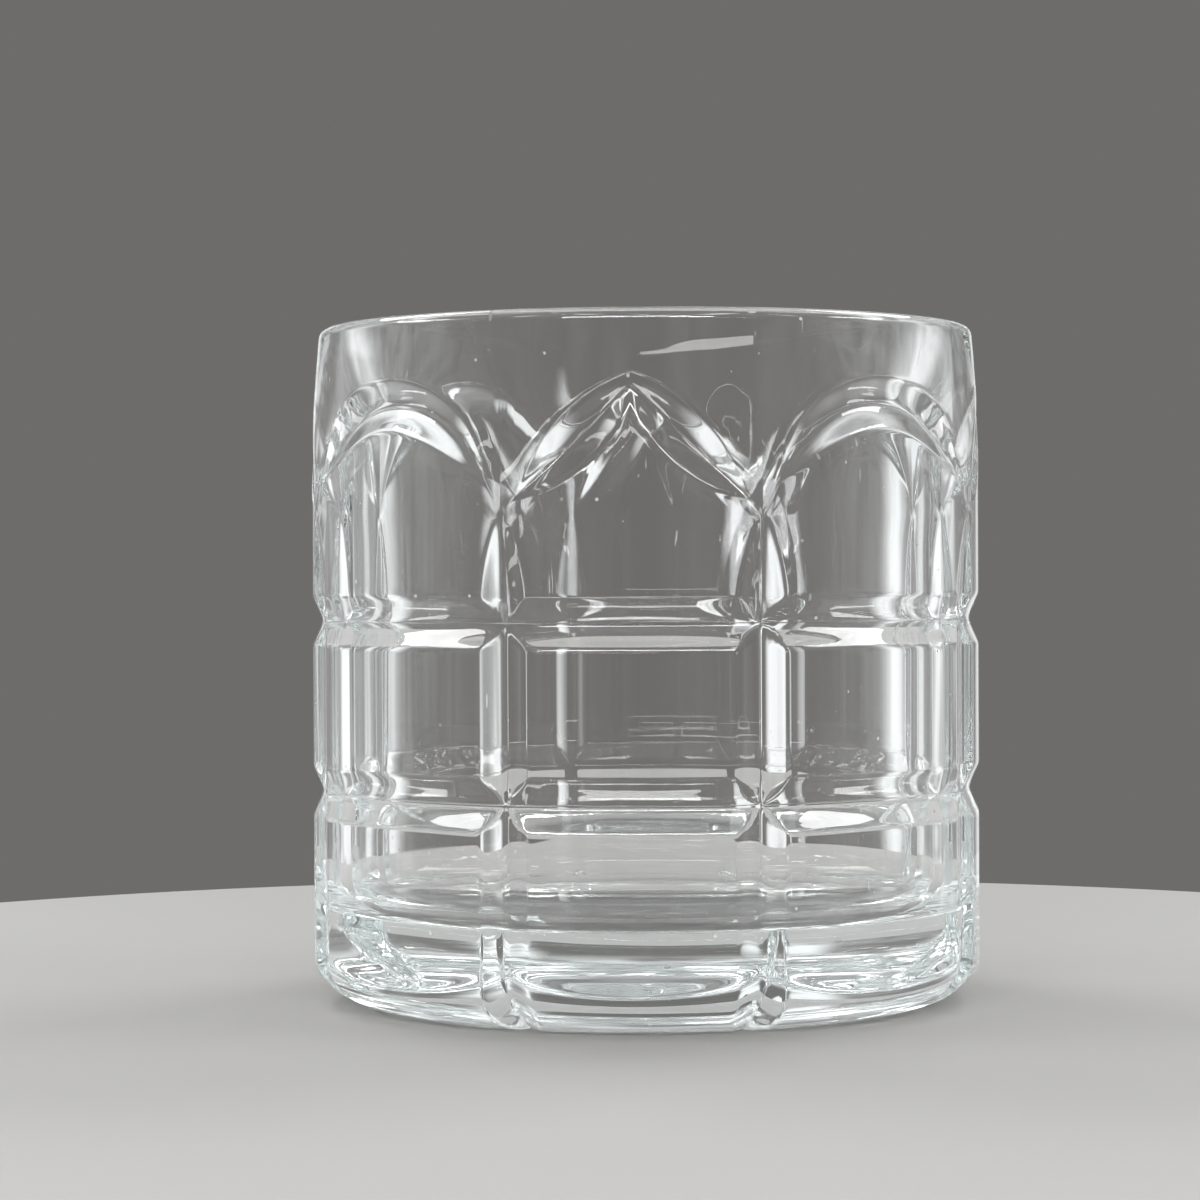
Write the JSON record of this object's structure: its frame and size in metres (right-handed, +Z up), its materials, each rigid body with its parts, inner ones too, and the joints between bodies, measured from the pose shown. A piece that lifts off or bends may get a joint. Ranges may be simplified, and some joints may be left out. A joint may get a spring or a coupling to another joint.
{
  "type": "rocks glass",
  "caption": "Heavy-based clear glass tumbler for short drinks, with bowed panels framed by mitre-cut grooves, pointed and round arches in turn and a plain rounded rim.",
  "frame": {"origin": "centre of the foot ring, on the plane that the glass stands on", "axes": "+Z up along the axis of the glass, -Y and +X each face the middle of a narrow panel with a pointed arch"},
  "size_m": [0.082, 0.082, 0.0826],
  "materials": {
    "clear_glass": "fire-polished, clear and colourless"
  },
  "bodies": {
    "root": {"glass_tumbler": "clear_glass"}
  },
  "joints": []
}
